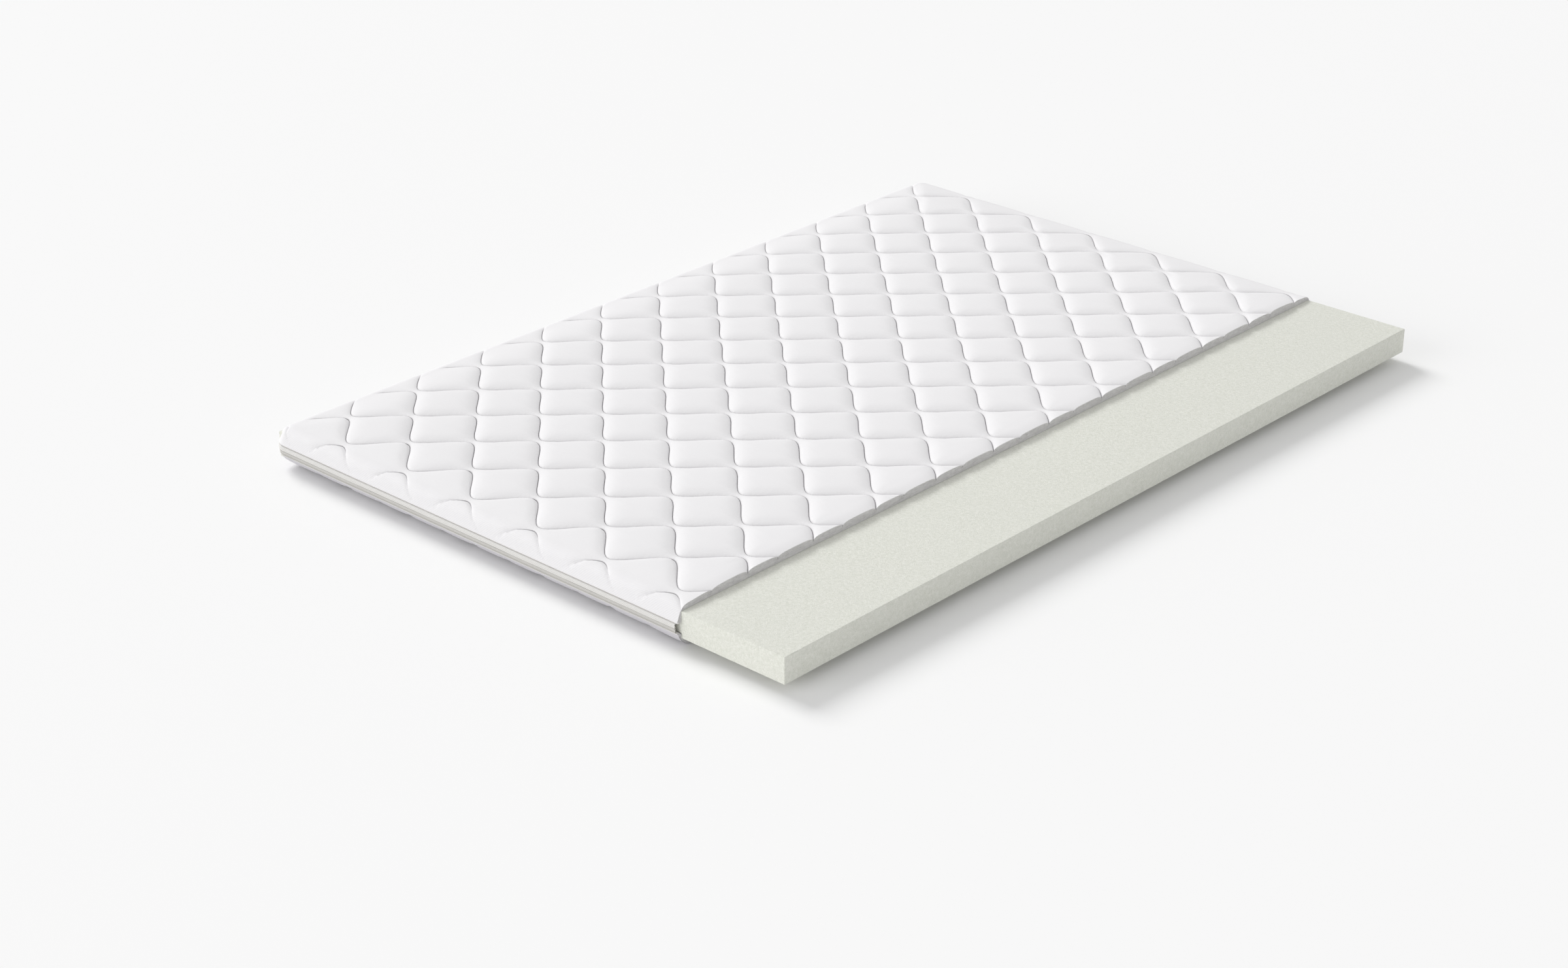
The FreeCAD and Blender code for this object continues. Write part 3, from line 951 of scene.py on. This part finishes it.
def ribbed(points, rise, step):
    # adds rounded ribs to a line of (distance out, height)
    points = np.array(points)
    along = np.concatenate([[0], np.cumsum(np.linalg.norm(np.diff(points, axis=0), axis=1))])
    fine = np.linspace(0, along[-1], max(2, round(along[-1] / step) * 6 + 1))
    out, up = np.interp(fine, along, points[:, 0]), np.interp(fine, along, points[:, 1])
    return [(float(a + rise * abs(math.sin(math.pi * f / step))), float(b)) for a, b, f in zip(out, up, fine)]


def makeUpperTape(band, middle):
    # hangs upright from its flange, which is sewn under the top panel
    top = nodeBox("upper_zip_tape")[1][2]
    out, gap, swell = cornerRadius + band["tapeOut"], band["halfGap"], band["swell"]
    thick, flange, bend = band["tapeThick"], band["flange"], band["bend"]
    face = [
        (out, top - bend), (out + swell, top - 2.4 * mm), (out - swell, top - 4.8 * mm),
        (out + 0.6 * swell, top - 6.6 * mm), (out + swell, middle + gap + 1.6 * mm),
        (out, middle + gap + 0.5 * mm),
    ]
    outer = [(out - flange, top), (out - bend, top), (out - 0.3 * bend, top - 0.3 * bend)]
    outer += ribbed(face, band["ribRise"], band["ribStep"])
    outer.append((out - 0.3 * mm, middle + gap))
    inner = [(out - flange, top - thick), (out - bend - 0.2 * mm, top - thick)]
    inner.append((out - thick - 0.1 * mm, top - thick - 0.2 * mm))
    inner += [(a - thick - band["ribRise"], b) for a, b in ribbed(face, 0, band["ribStep"])]
    inner.append((out - thick - 0.3 * mm, middle + gap))
    upper, length = makeStrip(
        "upper_woven_zip_tape", outer + inner[::-1], band["endBack"], tapeCloth,
        waver=band["waver"], seed=5,
    )
    finishPiece(upper, "cover", "zip_tape", "upper_zip_tape")
    print("zip tape length", round(length, 3))


def makeLowerTape(band, middle):
    # leans in towards the bottom panel
    low, back, welt = nodeBox("lower_zip_tape")[0][2], band["lowerLean"], band["welt"]
    out, gap = cornerRadius + band["tapeOut"], band["halfGap"]
    thick, flange, bend = band["tapeThick"], band["flange"], band["bend"]
    face = [
        (out - 0.2 * mm, middle - gap - 0.5 * mm), (out - 0.35 * back, middle - 3.4 * mm),
        (out - 0.95 * back, low + welt + 1.1 * mm), (out - 0.5 * back + 0.3 * welt, low + 0.9 * welt),
        (out - back + 0.2 * welt, low + 0.5 * mm),
    ]
    outer = [(out - 0.3 * mm, middle - gap)] + ribbed(face, band["ribRise"], band["ribStep"])
    outer.append((out - back - 0.3 * bend, low + 0.3 * bend))
    outer += [(out - back - bend, low), (out - back - flange, low)]
    inner = [(out - thick - 0.3 * mm, middle - gap)]
    inner += [(a - thick - band["ribRise"], b) for a, b in ribbed(face, 0, band["ribStep"])]
    inner.append((out - back - thick - 0.1 * mm, low + thick + 0.2 * mm))
    inner += [(out - back - bend - 0.2 * mm, low + thick), (out - back - flange, low + thick)]
    lower, length = makeStrip(
        "lower_woven_zip_tape", outer + inner[::-1], band["endBack"], paintedShadeLowerTape,
        waver=band["waver"], seed=6,
    )
    finishPiece(lower, "cover", "zip_tape", "lower_zip_tape")


def makeBinding(band, name, standOut):
    # a folded tape that closes a panel's raw edge
    node = f"{name}_hem_binding"
    bindLow, bindHigh = nodeBox(node)
    middle, half = (bindLow[2] + bindHigh[2]) / 2, (bindHigh[2] - bindLow[2]) / 2
    edgeOut, depth = cornerRadius + standOut, band["bindDepth"]
    turn = [(-math.pi / 2 + math.pi * k / band["bindTurn"]) for k in range(band["bindTurn"] + 1)]
    slit = half - band["bindCloth"]
    nose = [(edgeOut - half + half * math.cos(a), middle + half * math.sin(a)) for a in turn]
    inside = [(edgeOut - half + slit * math.cos(a), middle + slit * math.sin(a)) for a in turn]
    outside = [(edgeOut - depth, middle - half)] + nose + [(edgeOut - depth, middle + half)]
    section = outside + [(edgeOut - depth, middle + slit)] + inside[::-1] + [(edgeOut - depth, middle - slit)]
    strip, length = makeStrip(
        f"{name}_folded_hem_binding", section, band["bindEndBack"], bindingCloth,
        waver=band["bindWaver"], seed=9,
    )
    finishPiece(strip, "cover", "hem_binding", node)


zipMiddle = (nodeBox("upper_zip_tape")[1][2] + nodeBox("lower_zip_tape")[0][2]) / 2
makeUpperTape(zipBand, zipMiddle)
makeLowerTape(zipBand, zipMiddle)
makeBinding(zipBand, "upper", 7.9 * mm)
makeBinding(zipBand, "lower", 9.9 * mm)
print("zip band is sewn on")


zipTeeth = {"pitch": 2.6 * mm, "wide": 1.7 * mm, "head": 0.62, "sides": 8, "back": 1.8 * mm}


def makeTeeth(teeth, name, node):
    # one moulded tooth, repeated and bent round the cover behind its tape
    low, high = nodeBox(node)
    out = high[1] - cornerY - teeth["back"] / 2
    starts, facing, length = coverPath(out, zipBand["endBack"], 6 * mm)
    path = bpy.data.curves.new(name + "_path", "CURVE")
    path.dimensions = "3D"
    path.twist_mode = "Z_UP"
    line = path.splines.new("POLY")
    line.points.add(len(starts) - 1)
    places = starts + facing * out
    middle = (low[2] + high[2]) / 2
    heights = np.full((len(starts), 2), (middle, 1))
    line.points.foreach_set("co", np.column_stack([places, heights]).reshape(-1))
    guide = bpy.data.objects.new(name + "_path", path)
    bpy.context.scene.collection.objects.link(guide)
    bpy.ops.object.select_all(action="DESELECT")
    bpy.ops.mesh.primitive_cylinder_add(vertices=teeth["sides"], radius=0.5, depth=1)
    row = bpy.context.object
    row.name = row.data.name = name
    row.scale = (teeth["wide"], teeth["back"], high[2] - low[2])
    bpy.ops.object.transform_apply(location=True, rotation=True, scale=True)
    bpy.ops.object.mode_set(mode="EDIT")
    tooth = bmesh.from_edit_mesh(row.data)
    towardsZip = -1 if "upper" in name else 1
    for v in tooth.verts:
        v.select = v.co.z * towardsZip > 0
    tooth.select_flush(True)
    bmesh.update_edit_mesh(row.data)
    bpy.ops.transform.resize(value=(teeth["head"], teeth["head"], 1))
    bpy.ops.object.mode_set(mode="OBJECT")
    repeat = row.modifiers.new("repeat", "ARRAY")
    repeat.use_relative_offset = False
    repeat.use_constant_offset = True
    repeat.constant_offset_displace = (teeth["pitch"], 0, 0)
    repeat.count = int((length[-1] - teeth["wide"]) / teeth["pitch"])
    bending = row.modifiers.new("roundTheCover", "CURVE")
    bending.object = guide
    bending.deform_axis = "POS_X"
    bpy.ops.object.modifier_apply(modifier=repeat.name)
    bpy.ops.object.modifier_apply(modifier=bending.name)
    bpy.data.objects.remove(guide)
    row.data.materials.append(zipPlastic)
    bpy.ops.object.shade_smooth_by_angle(angle=math.radians(50))
    finishPiece(row, "cover", "zip_coil", node)
    print(name, "faces:", len(row.data.polygons))


for side in ("upper", "lower"):
    makeTeeth(zipTeeth, side + "_zip_teeth", side + "_zip_coil")


coreShape = {
    "sawnEdge": 1.6 * mm, "edgeSegments": 4, "edgeAngle": math.radians(40), "smoothBelow": math.radians(35),
    "backRound": cornerRadius, "turnSegments": 10,
}


def makeCore(shape):
    bpy.ops.object.select_all(action="DESELECT")
    size = coreHigh - coreLow
    bpy.ops.mesh.primitive_cube_add(size=1, location=tuple((coreLow + coreHigh) / 2))
    core = bpy.context.object
    core.name = core.data.name = "memory_foam_core"
    core.scale = tuple(size)
    bpy.ops.object.transform_apply(location=True, rotation=True, scale=True)
    bpy.ops.object.mode_set(mode="EDIT")
    slab = bmesh.from_edit_mesh(core.data)
    for e in slab.edges:
        a, b = e.verts
        e.select = abs(a.co.z - b.co.z) > 1 * mm and a.co.x < 0
    slab.select_flush(True)
    bmesh.update_edit_mesh(core.data)
    bpy.ops.mesh.bevel(offset=shape["backRound"], segments=shape["turnSegments"], affect="EDGES")
    bpy.ops.object.mode_set(mode="OBJECT")
    bevel = core.modifiers.new("sawnEdges", "BEVEL")
    bevel.width = shape["sawnEdge"]
    bevel.segments = shape["edgeSegments"]
    bevel.limit_method = "ANGLE"
    bevel.angle_limit = shape["edgeAngle"]
    bpy.ops.object.modifier_apply(modifier=bevel.name)
    core.data.materials.append(foam)
    bpy.ops.object.shade_smooth_by_angle(angle=shape["smoothBelow"])
    finishPiece(core, "core", "foam", "foam_core")


makeCore(coreShape)
print("foam core is cut")


def dress(node, material, edge=0.0):
    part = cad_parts[node]
    part.data.materials.clear()
    part.data.materials.append(material)
    if edge:
        weld = part.modifiers.new("weld", "WELD")
        weld.merge_threshold = 0.01 * mm      # joins the corners that faces share
        bevel = part.modifiers.new("softEdges", "BEVEL")
        bevel.width = edge
        bevel.segments = 2
        bevel.limit_method = "ANGLE"


for node in ("zip_slider", "zip_pull", "zip_end_stop"):
    dress(node, zinc, 0.2 * mm)
